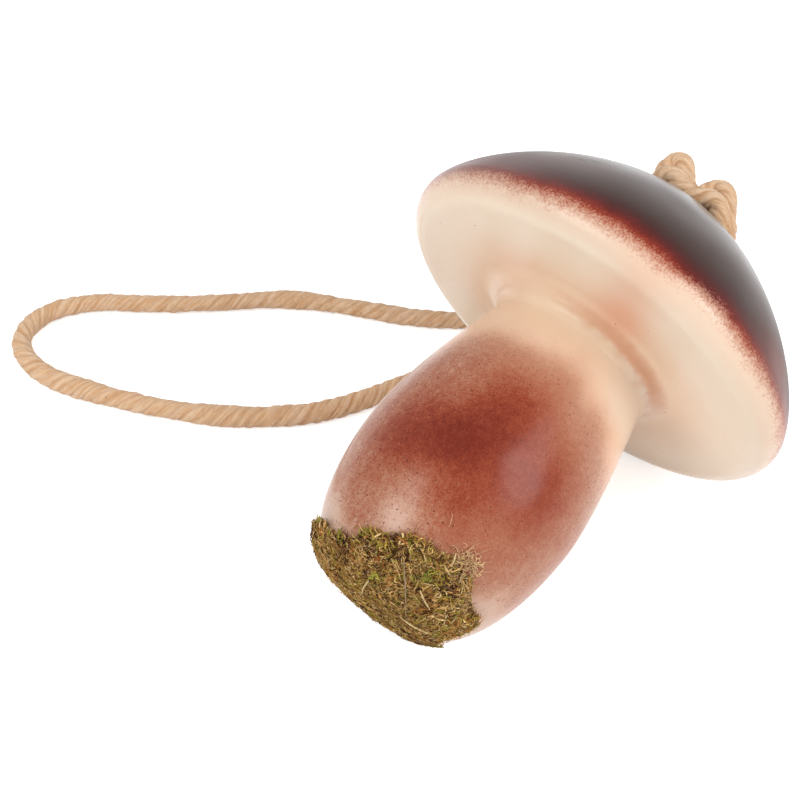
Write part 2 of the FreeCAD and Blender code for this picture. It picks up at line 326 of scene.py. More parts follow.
class Look:
    """The look of a surface, written as sums of patterns."""

    def __init__(self, name, place=None):
        """The place is a vector that the mesh holds, or else is in the mushroom's own axes."""
        self.material = bpy.data.materials.new(name)
        self.tree = empty_tree(self.material)
        self.shader = new_node(self.tree, "BsdfPrincipled")
        new_node(self.tree, "OutputMaterial", self.shader.outputs[0])
        if place:
            self.place = self.attribute(place)
        else:
            self.find_own_axes()

    def math(self, operation, *values, clamp=False):
        """The result of a sum."""
        return new_node(self.tree, "Math", *values, operation=operation, use_clamp=clamp).outputs[0]

    def plus(self, first, second):
        """The sum of two values."""
        return self.math("ADD", first, second)

    def less(self, first, second):
        """The first value less the second."""
        return self.math("SUBTRACT", first, second)

    def times(self, first, second):
        """The product of two values."""
        return self.math("MULTIPLY", first, second)

    def line(self, value, slope, start):
        """A value times a slope, plus a start."""
        return self.math("MULTIPLY_ADD", value, slope, start)

    def vector(self, operation, first, second):
        """The result of a sum of vectors, or the number of a dot product."""
        node = new_node(self.tree, "VectorMath", first, second, operation=operation)
        return node.outputs["Value" if operation == "DOT_PRODUCT" else "Vector"]

    def find_own_axes(self):
        """The place in the mushroom's own axes, in millimetres, with its height, radius and angle."""
        place = self.tree.nodes.new("ShaderNodeTexCoord").outputs["Object"]
        place = self.vector("SUBTRACT", place, tuple(foot_place * mm))
        down, side, self.height = (self.vector("DOT_PRODUCT", place, tuple(axis / mm))
                                   for axis in (axis_down, axis_side, axis_up))
        self.place = new_node(self.tree, "CombineXYZ", down, side, self.height).outputs[0]
        self.radius = self.math("SQRT", self.plus(self.times(down, down), self.times(side, side)))
        self.angle = self.math("ARCTAN2", self.times(down, -1), side)

    def attribute(self, name, output="Vector"):
        """A value that the mesh holds for each point."""
        return new_node(self.tree, "Attribute", attribute_name=name).outputs[output]

    def noise(self, size, detail=2, roughness=0.5, squeeze=None):
        """Soft noise whose spots are about as large as size. A squeeze below one makes them long."""
        place = self.place
        if squeeze:
            place = self.vector("MULTIPLY", place, (1, 1, squeeze))
        node = new_node(self.tree, "TexNoise", place)
        fill(node, Scale=1 / size, Detail=detail, Roughness=roughness)
        return node.outputs["Fac"]

    def drift(self, size, detail=2, roughness=0.5):
        """The same noise, around zero."""
        return self.less(self.noise(size, detail, roughness), 0.5)

    def specks(self, size, share):
        """Small round dots, one or none to a cell."""
        node = new_node(self.tree, "TexVoronoi", self.place)
        fill(node, Scale=1 / size)
        return self.step(node.outputs["Distance"], share, share * 0.6)

    def step(self, value, low, high):
        """Zero below low, one above high and smooth between them. Low may be the larger."""
        return new_node(self.tree, "MapRange", value, low, high, interpolation_type="SMOOTHSTEP").outputs[0]

    def ramp(self, value, *stops):
        """A colour that follows a value through stops: place, red, green and blue."""
        node = new_node(self.tree, "ValToRGB", value)
        elements = node.color_ramp.elements
        while len(elements) < len(stops):
            elements.new(0.5)
        for element, (place, *shade) in zip(elements, stops):
            element.position = place
            element.color = colour(*shade)
        return node.outputs[0]

    def ringed(self, heights, low=0, span=1):
        """A height between low and low plus span that follows the angle round the axis."""
        share = self.math("FRACT", self.plus(self.times(self.angle, 1 / full_turn), 1))
        curve = new_node(self.tree, "FloatCurve")
        fill(curve, Value=share)
        points = curve.mapping.curves[0].points
        points[0].location = (0, (heights[0][1] - low) / span)
        points[1].location = (1, (heights[0][1] - low) / span)
        for angle, height in heights[1:]:
            points.new(angle / 360, (height - low) / span)
        curve.mapping.update()
        return self.line(curve.outputs[0], span, low)

    def mix(self, share, first, second, how="MIX"):
        """A mixture of two colours."""
        node = new_node(self.tree, "Mix", share, data_type="RGBA", blend_type=how)
        feed(node.inputs[6], first)
        feed(node.inputs[7], second)
        return node.outputs[2]

    def over(self, tint, share, amount, *shade):
        """A tint with a shade laid over it, where a share is one and by an amount at most."""
        return self.mix(self.times(share, amount), tint, colour(*shade))

    def spot(self, angle, height, radius, round_size, up_size, amount):
        """A soft spot on the surface, round or oval, with an amount at its middle."""
        turn = math.radians(angle)
        centre = (-radius * math.sin(turn), radius * math.cos(turn), height)
        offset = self.vector("SUBTRACT", self.place, centre)
        scaled = self.vector("MULTIPLY", offset, (1 / round_size, 1 / round_size, 1 / up_size))
        squared = self.vector("DOT_PRODUCT", scaled, scaled)
        return self.times(self.math("EXPONENT", self.times(squared, -1)), amount)

    def spots(self, *rows, first=0):
        """The sum of soft spots and a first value, kept between zero and one."""
        total = first
        for row in rows:
            total = self.plus(total, self.spot(*row))
        return self.math("ADD", total, 0, clamp=True)

    def bump(self, height, distance, strength=1, after=None):
        """Relief from a height pattern, with its depth in metres."""
        node = new_node(self.tree, "Bump")
        fill(node, Strength=strength, Distance=distance, Height=height)
        if after is not None:
            fill(node, Normal=after)
        return node.outputs[0]

    def finish(self, base, roughness, normal, **settings):
        """Sets the shader's colour, roughness, relief and other fixed values."""
        fill(self.shader, Base_Color=base, Roughness=roughness, Normal=normal, **settings)
        return self.material


# Glazes

def glazed(look, tint, dull=0):
    """A glossy glaze over a tint, duller in places, with slow waves and faint pits."""
    gloss = look.plus(look.line(look.noise(7), 0.1, 0.19), dull)
    slow = look.bump(look.noise(13, 0), 0.001, 0.5)
    relief = look.bump(look.noise(0.8, 1), 0.00002, 0.3, after=slow)
    return look.finish(tint, gloss, relief, Specular_IOR_Level=0.22)


def coarse_grain(look):
    """The coarser grain of sprayed paint, around zero."""
    return look.drift(1.3, 3, 0.6)


def stem_tint(look):
    """Cream at the neck, sprayed red-brown over the belly and pink towards the foot."""
    level = look.line(look.drift(9, 3), 8, look.height)
    base = look.ramp(
        look.times(level, 1 / 72),
        (0, 199, 168, 147), (0.16, 202, 169, 150), (0.4, 205, 162, 139), (0.7, 227, 182, 152),
        (0.84, 230, 198, 171), (0.93, 234, 208, 180), (1, 228, 198, 168))
    # Painted light: the base is lighter on the neck's side that faces away from the lamps
    painted_light_side = look.ringed((
        (0, 0), (130, 0), (165, 1), (200, 1), (240, 0), (300, 0)))
    painted_light_side = look.times(painted_light_side, look.step(look.height, 54, 62))
    base = look.mix(painted_light_side, base, colour(231, 208, 186))
    far_side = look.ringed((
        (0, 0.8), (54, 0.8), (83, 0), (180, 0), (250, 0), (300, 0.8)))
    far_side = look.times(far_side, look.step(look.height, 61, 69))
    base = look.mix(far_side, base, colour(223, 191, 164))

    # Where the spray ends, above and below, and how strong it is between its spots
    upper = look.ringed((
        (0, 50), (45, 52), (60, 54), (75, 55.5), (90, 56), (110, 57.5), (125, 57.5), (142, 54.5),
        (155, 53.5), (168, 51), (180, 48.5), (215, 46), (260, 46), (310, 48)), 30, 40)
    lower = look.ringed((
        (0, 9), (45, 9), (60, 7.5), (75, 4), (90, 2.5), (110, 5), (130, 4), (150, 8), (165, 12),
        (180, 14), (215, 13), (310, 10)), 0, 30)
    even = look.ringed((
        (0, 0.28), (45, 0.3), (60, 0.41), (75, 0.44), (90, 0.37), (110, 0.36), (130, 0.43), (145, 0.45),
        (160, 0.41), (180, 0.33), (240, 0.33), (310, 0.33)))
    above = look.less(upper, level)
    below = look.less(level, lower)
    cover = look.times(look.step(above, -12, 13), look.step(below, -6, 6))
    middle = 24.5
    spray = look.times(cover, look.spots(
        (111, 43, middle, 8.5, 8, 0.44), (105, 32.5, middle, 10, 7.5, 0.44), (87, 28.5, middle, 11, 8, 0.34),
        (75, 24, middle, 9, 6, 0.12), (118, 21, middle, 6.5, 6.5, 0.26), (146, 33.5, middle, 9.5, 10, 0.34),
        (106, 53, middle, 12, 6, 0.16), (215, 32, middle, 12, 12, 0.24), (262, 28, middle, 12, 11, 0.4),
        (315, 34, middle, 13, 11, 0.34), (20, 26, middle, 11, 9, 0.22), first=even))
    # Thinner spray in one spot low on the belly, paler partly as a painted highlight of the left lamp
    spray = look.less(spray, look.spot(100, 10.5, middle, 4.6, 5, 0.3))

    # Grain of the spray, calmer on the floor side and towards the neck
    fine = look.drift(0.4, 2, 0.7)
    cloud = look.drift(4.5, 4, 0.6)
    speckled = look.plus(look.times(fine, 0.7), look.times(coarse_grain(look), 0.44))
    speckled = look.plus(speckled, look.times(cloud, 0.32))
    grainy = look.ringed((
        (0, 1), (45, 1.12), (70, 1.12), (90, 1), (110, 0.95), (130, 0.66), (155, 0.62), (180, 0.7),
        (240, 0.9), (300, 1)), 0, 1.2)
    grainy = look.times(grainy, look.line(look.step(look.height, 60, 42), 0.75, 0.25))
    present = look.times(grainy, look.step(spray, 0, 0.4))
    spray = look.line(speckled, present, spray)
    sprayed = look.ramp(
        look.times(spray, 0.8),
        (0, 210, 163, 138), (0.22, 183, 133, 108), (0.4, 166, 101, 75), (0.6, 146, 64, 39),
        (0.8, 120, 39, 20), (1, 100, 26, 12))
    tint = look.mix(look.step(spray, 0, 0.3), base, sprayed)

    # Dark dots in the spray and a few over all of the stem
    dotted = look.times(look.step(above, -9, 5), look.step(below, -8, 2))
    for size, share, amount in ((1, 0.2, 0.66), (0.62, 0.2, 0.38), (1.9, 0.14, 0.85)):
        dots = look.times(look.specks(size, share), dotted)
        dots = look.times(dots, look.line(grainy, 0.65, 0.35))
        tint = look.over(tint, dots, amount, 98, 36, 24)
    return look.over(tint, look.specks(5, 0.05), 0.8, 62, 36, 30)


def cap_tint(look):
    """Grey-brown over the dome, red-brown and dotted along its edge, cream under the cap."""
    edge = look.ringed((
        (0, 75.5), (45, 76.8), (65, 76.9), (80, 76.7), (87, 77.1), (95, 77.6), (110, 78.1), (122, 78),
        (135, 79.1), (150, 78), (165, 78.2), (175, 77.9), (200, 77.5), (240, 76.8), (280, 77.8),
        (320, 76.8)), 70, 15)
    past_edge = look.line(look.drift(5, 3), 2, look.less(look.height, edge))
    grain = look.times(coarse_grain(look), 2)
    grain = look.line(look.drift(0.46, 1, 0.6), 4.2, grain)
    stippled = look.plus(past_edge, grain)
    depth = look.line(grain, 0.55, past_edge)
    depth = look.plus(depth, look.spot(133, 80, 47.5, 7, 4, 1.8))

    # The dome, from its red-brown edge to the grey-brown crown
    dome = look.ramp(
        look.times(depth, 1 / 13),
        (0, 162, 72, 42), (0.12, 134, 42, 20), (0.22, 99, 16, 6), (0.31, 76, 8, 1), (0.4, 62, 12, 4),
        (0.5, 56, 26, 19), (0.68, 62, 44, 39), (1, 70, 55, 50))
    ruddy = look.spots((165, 83, 45, 9, 6, 0.8), (52, 80, 47, 13, 5, 0.75), (300, 82, 45, 20, 5, 0.5))
    dome = look.mix(ruddy, dome, colour(116, 62, 52))
    dome = look.mix(look.step(past_edge, 9, 21), dome, colour(94, 82, 79))
    # Two paler spots on the upper dome are painted sheen
    dome = look.mix(look.spot(66, 84, 42, 14, 9, 0.55), dome, colour(138, 118, 115))
    dome = look.mix(look.spot(80, 91, 40, 9, 5, 0.4), dome, colour(138, 122, 120))
    streaks = look.spots(
        (82, 94.2, 37.4, 1.6, 0.5, 1), (80, 92.6, 39, 1.2, 0.5, 1),
        (85, 98.8, 32, 1.5, 0.5, 1), (84, 104.4, 24, 1.5, 0.5, 1))
    dome = look.over(dome, streaks, 0.75, 38, 30, 29)

    # The cream underside, with a blush and a few dots
    cream = look.mix(look.noise(12, 4, 0.6), colour(241, 225, 204), colour(237, 216, 191))
    cream = look.mix(look.step(look.radius, 38, 24), cream, colour(235, 206, 178))
    # Darker cream round the rim, which faces the lamps, is painted shade
    cream = look.mix(look.step(look.radius, 44, 46.8), cream, colour(229, 204, 181))
    cream = look.over(cream, look.step(stippled, -5, 0.8), 0.55, 230, 182, 156)
    blush = look.spots(
        (119, 72, 43, 6, 9, 0.5), (121, 72, 34, 6.5, 9, 0.6), (124, 72, 26, 6.5, 9, 0.95),
        (60, 72, 24, 8, 8, 0.25), (300, 72, 36, 14, 8, 0.35))
    cream = look.mix(blush, cream, colour(229, 178, 148))
    cream = look.over(cream, look.specks(6, 0.045), 0.75, 84, 58, 46)
    dull = look.times(look.step(past_edge, 0, 8), look.step(past_edge, 24, 10))
    return look.mix(look.step(stippled, -3.2, 1.7), cream, dome), look.times(dull, 0.18)


def stem_glaze(name):
    """The glaze of the stem, which also shows through the clear film of glue."""
    look = Look(name)
    return glazed(look, stem_tint(look))


def cap_glaze():
    """The glaze of the cap."""
    look = Look("cap_glaze")
    return glazed(look, *cap_tint(look))


def crease_glaze():
    """The glaze in the crease: the stem's below, the cap's above, and a pink-brown band between them that is
    partly paint and partly painted shade.
    """
    look = Look("crease_glaze")
    below = stem_tint(look)
    above, _ = cap_tint(look)
    tint = look.mix(look.step(look.radius, 20.6, 23.2), below, above)
    # The pink-brown band in the crease is partly paint and partly painted shade, stronger round some angles
    reach = look.line(look.drift(3, 3), 1.6, look.radius)
    paint = look.times(look.step(reach, 19.7, 21), look.step(reach, 24.2, 21.2))
    paint = look.times(paint, look.ringed((
        (0, 0.55), (45, 0.15), (70, 0.16), (95, 0.36), (115, 0.75), (135, 0.95), (160, 1), (185, 0.85),
        (220, 0.5), (270, 0.4), (320, 0.7))))
    return glazed(look, look.over(tint, paint, 0.85, 208, 148, 112))


# Jute and moss

def jute():
    """Twisted jute: fibres along the twist, grooves darkened with painted shade, and darker and paler
    strands.
    """
    look = Look("jute", "straight")
    groove = look.attribute("groove", "Fac")
    fibres = look.noise(0.34, 4, 0.7, squeeze=0.22)
    strands = look.noise(1.3, squeeze=0.2)
    patches = look.noise(4, 3, 0.6)
    tint = look.ramp(
        look.line(look.less(patches, 0.5), 0.35, fibres),
        (0.26, 211, 164, 122), (0.48, 231, 190, 149), (0.66, 244, 214, 180))
    tint = look.over(tint, look.step(strands, 0.5, 0.66), 0.52, 212, 157, 106)
    tint = look.over(tint, look.step(strands, 0.5, 0.34), 0.5, 246, 214, 185)
    tint = look.over(tint, look.step(patches, 0.52, 0.75), 0.4, 212, 158, 112)
    # Darker colour in the grooves between strands is painted shade
    tint = look.over(tint, look.step(groove, 0.1, 1), 0.34, 178, 122, 78)
    tint = look.over(tint, look.specks(6, 0.05), 0.6, 112, 72, 44)
    relief = look.bump(fibres, 0.0003, 0.9)
    return look.finish(tint, 0.9, relief, Sheen_Weight=0.3, Sheen_Roughness=0.5, Specular_IOR_Level=0.2)


def plain_jute():
    """Jute for the stretches inside the cap."""
    look = Look("plain_jute")
    fibres = look.noise(0.3, 3, squeeze=0.2)
    tint = look.mix(fibres, colour(196, 142, 94), colour(238, 196, 146))
    return look.finish(tint, 0.88, look.bump(fibres, 0.0002, 0.8))


def tinted(name, roughness, coarse):
    """Plant matter that carries its colour on the mesh, with a fine grain."""
    look = Look(name)
    grain = look.noise(coarse, 3, 0.65)
    tint = look.mix(look.step(grain, 0.3, 0.62), colour(196, 186, 172), colour(255, 255, 255))
    tint = look.mix(1, look.attribute("tint", "Color"), tint, "MULTIPLY")
    return look.finish(tint, roughness, look.bump(grain, 0.0002, 0.6), Specular_IOR_Level=0.12)


# Camera
camera_data = bpy.data.cameras.new("camera")
camera_data.lens = camera_lens
camera_data.clip_start = 0.01
camera = new_object("camera", camera_data)
camera.location = Vector(camera_place) * mm
camera.rotation_euler = Vector(camera_direction).to_track_quat("-Z", "Y").to_euler()
bpy.context.scene.camera = camera
bpy.context.scene.view_settings.view_transform = "Standard"

# Cord
jute_material = jute()
loop_line = spline_line(loop_points)
cord_piece = rope_piece(
    "hanging_cord_rope", [loop_line], cord_diameter, jute_material, 11, lay_length, 0.15, cord_swells)
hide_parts("hanging_cord")


# Knot on the crown, in steps of its own axes: sideways, out of the crown and away from the floor

def knot_line(points):
    """A strand of the knot through control points."""
    points = np.asarray(points, dtype=float)
    own = np.stack([-points[:, 2], points[:, 0], crown_height + points[:, 1]], axis=1)
    return spline_line(placed(own))


outer_strand = [
    (2.6, 0.8, 0), (4.5, 1.6, 0.5), (8.3, 2.6, 1), (10.1, 5.8, 1.6), (9.8, 10.4, 2.2), (7.2, 11.4, 2.4),
    (4.9, 8.2, 2), (2.2, 4.8, 1.2), (-0.6, 5.6, 0.8), (-2.4, 9.8, 0.8), (-6, 9.2, 1), (-7.8, 5.4, 1),
    (-10.8, 0.9, 0.8), (-10.4, 0.7, -3), (-8, 4, -4.6), (-4.2, 7.4, -3.6), (-3, 6.8, -3),
    (-3, 5.5, -4),
]
front_strand = [
    (-2.6, 0.8, 0), (0, 2.6, 1), (5, 4.4, 1.4), (9, 3, 2.4), (8.6, 5, 4), (6, 6, 4.8),
    (2.4, 3.8, 4.6), (-1.4, 2.8, 4.6), (-4.6, 4.2, 4.6), (-7, 4.2, 4.2), (-9.4, 1.2, 3.4),
    (-10.1, 0, 1.4), (-8, 0.8, -2.4), (-2, 2.6, -4), (4, 4.4, -2.6), (8.4, 6.4, -1.8),
    (7.8, 9, -2.4), (4.4, 8.6, -3.4), (3, 6.8, -3.6), (3, 5.5, -4),
]
knot_lines = [knot_line(outer_strand), knot_line(front_strand)]
knot_swells = [(0, 1.0), (60, 1.0)]
knot_piece = rope_piece(
    "crown_knot_rope", knot_lines, knot_cord_diameter, jute_material, 31, lay_length, 0.24, knot_swells,
    ends=0.6)
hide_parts("crown_knot")


# Loose fibres that stand off the cord

def cord_hairs(name, lines, count, seed):
    """Fine hairs on the surface of cords."""
    choice = np.random.default_rng(seed)
    root_share = 0.44
    hairs, widths = [], []
    for line in lines:
        line, along = resampled(line, 0.5 * mm)
        forward, across, over = carried_frames(line)
        for _ in range(int(count * along[-1] / cord_length)):
            k = choice.integers(2, len(line) - 2)
            turn = choice.uniform(0, full_turn)
            outward = across[k] * math.cos(turn) + over[k] * math.sin(turn)
            start = line[k] + outward * cord_diameter * mm * root_share
            lengthwise = forward[k] * choice.choice((-1, 1))
            lengthwise += np.cross(forward[k], outward) * choice.normal(0, 0.5)
            length = choice.uniform(0.5, 1.6) * mm
            lift = choice.uniform(0.1, 0.9)
            steps = np.linspace(0, 1, 5)[:, None]
            sway = unit(choice.normal(size=3)) * length * 0.25
            hair = start + lengthwise * length * steps + outward * length * lift * steps * (1.2 - steps)
            hairs.append(hair + sway * steps ** 2)
            widths.append(choice.uniform(0.015, 0.032) * mm * np.array([1.0, 1.0, 0.9, 0.7, 0.3]))
    hairs = np.array(hairs)
    hairs[:, :, 2] = np.maximum(hairs[:, :, 2], hair_clearance)
    points, faces = tube_mesh(hairs, np.array(widths))
    piece = new_piece(name, points, faces, hair_material)
    tone = choice.uniform(0, 1, (len(hairs), 1))
    shade = plain(232, 190, 140) * (1 - tone) + plain(250, 226, 190) * tone
    add_tints(piece, np.repeat(shade, len(points) // len(hairs), axis=0))


hair_material = tinted("jute_hair", 0.8, 0.4)
cord_hairs("hanging_cord_fibres", [loop_line], 3200, 41)
cord_hairs("crown_knot_fibres", knot_lines, 3200, 42)

# Ceramic nodes and the hidden stretches of cord
crease_material = crease_glaze()
finishes = {
    "stem_shell": stem_glaze("stem_glaze"),
    "cap_shell": cap_glaze(),
    "moss_glue": stem_glaze("glue"),
}
inner_jute = plain_jute()
for node in ("cord_leg_left", "cord_leg_right", "stopper_knot", "cord_tail_left", "cord_tail_right"):
    finishes[node] = inner_jute
for node, finish in finishes.items():
    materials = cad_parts[node].data.materials
    materials.clear()
    materials.append(finish)


# Slip smoothed into the crease

def crease_surface():
    """The hollow surface that runs from the neck out under the cap."""
    columns, rows = 360, 28
    share = np.linspace(0, 1, rows)[:, None]
    turn = np.linspace(0, full_turn, columns, endpoint=False)
    profile = bezier([(19.71, 66.9), (19.71, 69.9), (21.6, 71.87), (26.5, 71.885)], share)
    outward = unit(np.stack([np.gradient(profile[:, 1]), -np.gradient(profile[:, 0])], axis=1))
    lumps = 0.1 * waves(turn * 20, (23.0, 11.0, 7.0), 61) * np.sin(math.pi * share)
    around_lip = (np.exp(-((turn - math.radians(90)) / math.radians(20)) ** 2)
                  + np.exp(-((turn - math.radians(158)) / math.radians(30)) ** 2))
    lip = 0.34 * around_lip * np.exp(-((share - 0.42) / 0.09) ** 2)
    reach = (lumps + lip)[:, :, None]
    ring = profile[:, None] + outward[:, None] * reach
    points = np.stack([-ring[:, :, 0] * np.sin(turn), ring[:, :, 0] * np.cos(turn), ring[:, :, 1]], axis=2)
    return placed(points.reshape(-1, 3)), ring_faces(rows, columns).tolist()


crease_points, crease_faces = crease_surface()
crease_piece = new_piece("crease_slip", crease_points, crease_faces, crease_material)
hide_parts("slip_joint")

# Moss

def foot_outline():
    """The foot's outline from the axis to the belly: distances along it, radii, heights and normals."""
    share = np.linspace(0, 1, 400)[:, None]
    swell = bezier([
        (foot_flat_radius, 0.0),
        (foot_flat_radius + (belly_radius - foot_flat_radius) * foot_handle_share, 0.0),
        (belly_radius, belly_height * (1 - belly_handle_share)),
        (belly_radius, belly_height),
    ], share)
    curve = np.concatenate([[(0.0, 0.0)], swell])
    runs = np.linalg.norm(np.diff(curve, axis=0), axis=1)
    along = np.concatenate([[0.0], np.cumsum(runs)])
    slope = unit(np.gradient(curve, axis=0))
    slope[:2] = (1.0, 0.0)
    return along, curve[:, 0], curve[:, 1], slope[:, 1], -slope[:, 0]


outline_along, *outline_rows = foot_outline()
outline_radius, outline_height, _, _ = outline_rows

# Height of the moss's edge at angles round the foot
moss_edge = np.array([
    (0, 3.6), (20, 4.6), (41, 5.2), (53, 4.7), (59, 4), (69, 4), (78, 4.5), (84, 4.8), (88, 6.6),
    (90, 7.8), (97, 8.1), (102, 8.3), (106, 9.6), (110, 10.8), (120, 11.9), (126, 11.7), (132, 12.4),
    (142, 12.2), (151, 11.4), (154, 10.2), (158, 9.1), (163, 8.7), (168, 8.4), (174, 8.7), (182, 7.9),
    (185, 5.2), (189, 2.4), (207, 1.3), (230, 1.6), (250, 2.2), (300, 2.2), (330, 2.8), (360, 3.6),
])


def edge_distance(angles):
    """How far along the outline the moss reaches, at angles in degrees."""
    heights = np.interp(np.mod(angles, 360), moss_edge[:, 0], moss_edge[:, 1])
    return np.interp(heights, outline_height[1:], outline_along[1:])


def on_foot(along, angles, lift):
    """Points over the foot, their normals, and the directions round it and up it."""
    turn = np.radians(angles)
    radial = np.stack([-np.sin(turn), np.cos(turn), np.zeros_like(turn)], axis=-1)
    up = np.array([0.0, 0.0, 1.0])
    radius, height, out, rise = (np.interp(along, outline_along, row)[..., None] for row in outline_rows)
    normal = unit(radial * out + up * rise)
    round_way = np.stack([-np.cos(turn), -np.sin(turn), np.zeros_like(turn)], axis=-1)
    up_way = np.cross(normal, round_way)
    return radial * radius + up * height + normal * np.asarray(lift)[..., None], normal, round_way, up_way


def headed(along, angles, lift, choice):
    """Points over the foot, their normals, and random directions along its surface."""
    points, normal, round_way, up_way = on_foot(along, angles, lift)
    heading = choice.uniform(0, full_turn, len(along))[:, None]
    return points, normal, round_way * np.cos(heading) + up_way * np.sin(heading)


def scattered(count, choice, overshoot=0.4):
    """Random places over the moss: distances along the outline and angles."""
    along, angles = np.zeros((2, 0))
    while len(along) < count:
        tries = choice.uniform(0, outline_along[-1] * 0.75, count * 2)
        turns = choice.uniform(0, 360, count * 2)
        radius = np.interp(tries, outline_along, outline_radius)
        keep = choice.uniform(0, belly_radius, count * 2) < radius
        keep &= tries < edge_distance(turns) + choice.normal(0, overshoot, count * 2)
        along = np.concatenate([along, tries[keep]])
        angles = np.concatenate([angles, turns[keep]])
    return along[:count], angles[:count]


def ripple(along, angles, size, seed):
    """Smooth lumps over the foot, between about -1 and 1."""
    choice = np.random.default_rng(seed)
    places = on_foot(along, angles, np.zeros_like(along))[0]
    total = np.zeros(np.shape(along))
    for _ in range(7):
        way = unit(choice.normal(size=3)) * full_turn / (size * choice.uniform(0.6, 1.6))
        total += np.sin(places @ way + choice.uniform(0, full_turn))
    return total / 3


moss_material = tinted("moss", 0.92, 0.45)

# Colours of the moss, how common each is, and what dark, rusty and green patches add to that
moss_shades = (
    ((230, 187, 120), 0.29, (0, 0, 0)),
    ((196, 166, 78), 0.2, (0, 0, 0.5)),
    ((248, 216, 156), 0.15, (0, 0, 0)),
    ((184, 132, 74), 0.21, (0, 0, 0)),
    ((94, 60, 32), 0.08, (0.9, 0, 0)),
    ((114, 80, 66), 0.03, (0.8, 0, 0)),
    ((202, 136, 74), 0.03, (0, 0.6, 0)),
    ((196, 184, 78), 0.03, (0, 0, 0.2)),
)


def moss_tints(along, angles, choice):
    """Random colours of dry moss, darker and purple in some patches and rusty in others."""
    shades = np.array([plain(*shade) for shade, _, _ in moss_shades])
    patches = [np.clip(ripple(along, angles, size, seed) - start, 0, 1)
               for size, seed, start in ((5.0, 91, 0.25), (4.0, 92, 0.55), (5.0, 93, 0.35))]
    added = np.array([more for _, _, more in moss_shades])
    odds = np.array([odd for _, odd, _ in moss_shades]) + np.stack(patches, axis=1) @ added.T
    edges = np.cumsum(odds / odds.sum(1, keepdims=True), axis=1)
    picked = (choice.uniform(0, 1, (len(along), 1)) > edges).sum(1).clip(0, len(shades) - 1)
    lit = 1 + np.interp(along, (14.0, 21.0), (0.09, 0.0)) * np.cos(np.radians(angles))
    return shades[picked] * choice.uniform(0.56, 1.24, (len(along), 1)) * lit[:, None]


def mat_share(angles):
    """How thick the mat is at angles in degrees, thinner towards the floor."""
    return np.interp(np.mod(angles, 360), (0, 30, 150, 195, 220, 265, 330, 360),
                     (0.9, 1, 1, 0.42, 0.52, 0.75, 0.9, 0.9))


def moss_bed():
    """The crumbly mat under the strands."""
    rows, columns = 110, 420
    angles = np.linspace(0, 360, columns, endpoint=False)[None, :].repeat(rows, 0)
    share = (np.linspace(0, 1, rows) ** 0.8)[:, None]
    ragged = 0.5 * ripple(edge_distance(angles[0]), angles[0], 2.2, 3)
    along = share * (edge_distance(angles[0]) + ragged)
    lumps = 0.26 * ripple(along, angles, 3.0, 5) + 0.24 * ripple(along, angles, 1.2, 6)
    lumps += 0.16 * ripple(along, angles, 0.6, 7)
    thick = (0.85 + lumps) * np.sqrt(np.clip((1 - share) * 9, 0, 1)) * mat_share(angles) + 0.25
    points = on_foot(along, angles, thick)[0]
    faces = np.roll(ring_faces(rows, columns)[:, ::-1], 1, axis=1).tolist()
    piece = new_piece("moss_bed", placed(points.reshape(-1, 3)), faces, moss_material)
    # The mat is darker where it dips, as painted shade, and in random patches
    tone = np.clip(0.5 + 0.6 * ripple(along, angles, 1.0, 8) + 0.5 * lumps, 0, 1).reshape(-1, 1)
    add_tints(piece, plain(86, 56, 24) * (1 - tone) + plain(206, 164, 98) * tone)
    return piece


def curled(start, normal, flat, length, bend, arch, steps=6):
    """Bent lines that start from points and run along the surface."""
    side = np.cross(normal, flat)
    middle = np.linspace(0.0, 1.0, steps)[:, None] - 0.5
    length, bend, arch = (value[:, None, None] for value in (length, bend, arch))
    return (start[:, None] + flat[:, None] * length * middle * (1 - 0.25 * np.abs(bend))
            + side[:, None] * length * bend * (middle ** 2 - 0.1)
            + normal[:, None] * length * arch * (0.2 - middle ** 2))


def fibre_piece(name, lines, radii, tints, sides=3):
    """A piece of many thin fibres, from lines in the mushroom's own axes."""
    shape = lines.shape
    lines = placed(lines.reshape(-1, 3)).reshape(shape)
    lines[:, :, 2] = np.maximum(lines[:, :, 2], moss_clearance)
    points, faces = tube_mesh(lines, radii * mm, sides)
    piece = new_piece(name, points, faces, moss_material)
    add_tints(piece, np.repeat(tints, shape[1] * sides, axis=0))


def moss_strands(name, count, seed, long, wide, high):
    """Short curled strands that lie over the mat, finer on the flat of the foot."""
    choice = np.random.default_rng(seed)
    along, angles = scattered(count, choice)
    lift = 0.25 + choice.uniform(0.25, high - 0.3, count) * mat_share(angles)
    start, normal, flat = headed(along, angles, lift, choice)
    flat = unit(flat + normal * choice.normal(0, 0.16, count)[:, None])
    fine = np.interp(start[:, 2], (0.0, 4.0), (0.66, 1.0))
    length = long * fine * choice.lognormal(0, 0.35, count)
    bend, arch = choice.normal(0, 1.1, count), choice.uniform(0.1, 0.7, count)
    lines = curled(start, normal, flat, length, bend, arch)
    radii = (wide * fine * choice.lognormal(0, 0.3, count))[:, None] * (0.4, 0.9, 1.0, 1.0, 0.8, 0.35)
    fibre_piece(name, lines, radii, moss_tints(along, angles, choice))


